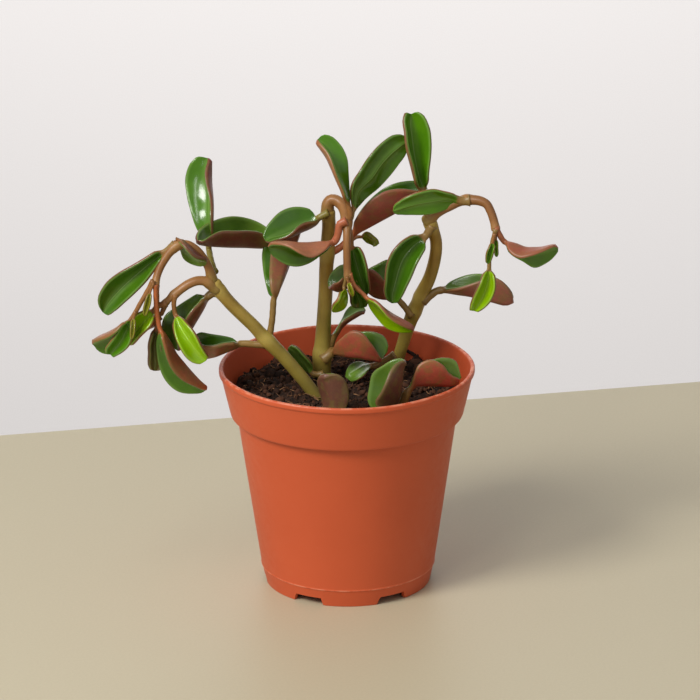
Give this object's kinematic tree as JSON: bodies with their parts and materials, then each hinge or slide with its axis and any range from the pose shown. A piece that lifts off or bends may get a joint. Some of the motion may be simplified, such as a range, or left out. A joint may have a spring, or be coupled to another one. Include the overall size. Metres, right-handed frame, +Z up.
{
  "type": "potted peperomia",
  "caption": "Potted peperomia: fleshy stems with drooping side shoots and folded green and red leaves, in a round plastic nursery pot of soil.",
  "frame": {"origin": "centre of the pot's underside, on the surface that it stands on", "axes": "+Z up, +X to the right and +Y to the back of the plant's best side"},
  "size_m": [0.1893, 0.105, 0.1988],
  "materials": {
    "pot": "matte moulded terracotta-orange plastic",
    "soil": "loose dark peat and bark",
    "stem": "smooth fleshy olive-brown stem",
    "branch": "smooth orange-brown side shoot",
    "leaf": "waxy, glossy deep green above, matt wine red below",
    "young_leaf": "waxy, glossy yellow-green young leaf"
  },
  "bodies": {
    "root": {"pot": "pot", "soil": "soil", "stem_centre": "stem", "branch_centre": "branch", "stem_left": "stem", "branch_left_upper": "branch", "branch_left_lower": "branch", "stem_right": "stem", "branch_right": "branch", "leaf_left_mid": "leaf", "leaf_left_arch_small": "leaf", "leaf_left_upright": "leaf", "leaf_centre_left_upper": "leaf", "leaf_left_fork_upright": "leaf", "leaf_centre_drooping": "leaf", "leaf_left_big": "leaf", "leaf_left_tip_back": "leaf", "leaf_left_tip_front": "leaf", "leaf_left_lower_end": "leaf", "leaf_left_lower_outer": "leaf", "bud_left_tip": "young_leaf", "bud_left_front": "young_leaf", "leaf_left_drooping": "leaf", "leaf_left_drooping_back": "leaf", "leaf_left_bright": "young_leaf", "leaf_left_under": "leaf", "leaf_left_fork_low": "leaf", "leaf_top_left": "leaf", "leaf_top_mid": "leaf", "leaf_top_right": "leaf", "leaf_back_big": "leaf", "leaf_right_top": "leaf", "leaf_right_mid": "leaf", "leaf_right_behind": "leaf", "leaf_centre_hang_right": "leaf", "leaf_centre_hang_mid": "leaf", "leaf_centre_bright": "young_leaf", "leaf_centre_young": "young_leaf", "bud_centre": "young_leaf", "leaf_centre_back_left": "leaf", "leaf_centre_low_behind": "leaf", "leaf_soil_centre": "leaf", "leaf_soil_low": "leaf", "leaf_soil_front_left": "leaf", "leaf_soil_front_mid": "leaf", "leaf_soil_right": "leaf", "leaf_soil_left_behind": "leaf", "leaf_right_fork": "leaf", "leaf_right_bright": "young_leaf", "leaf_right_end": "leaf", "bud_back": "young_leaf", "bud_right_long": "young_leaf", "bud_right_small": "young_leaf"}
  },
  "joints": []
}
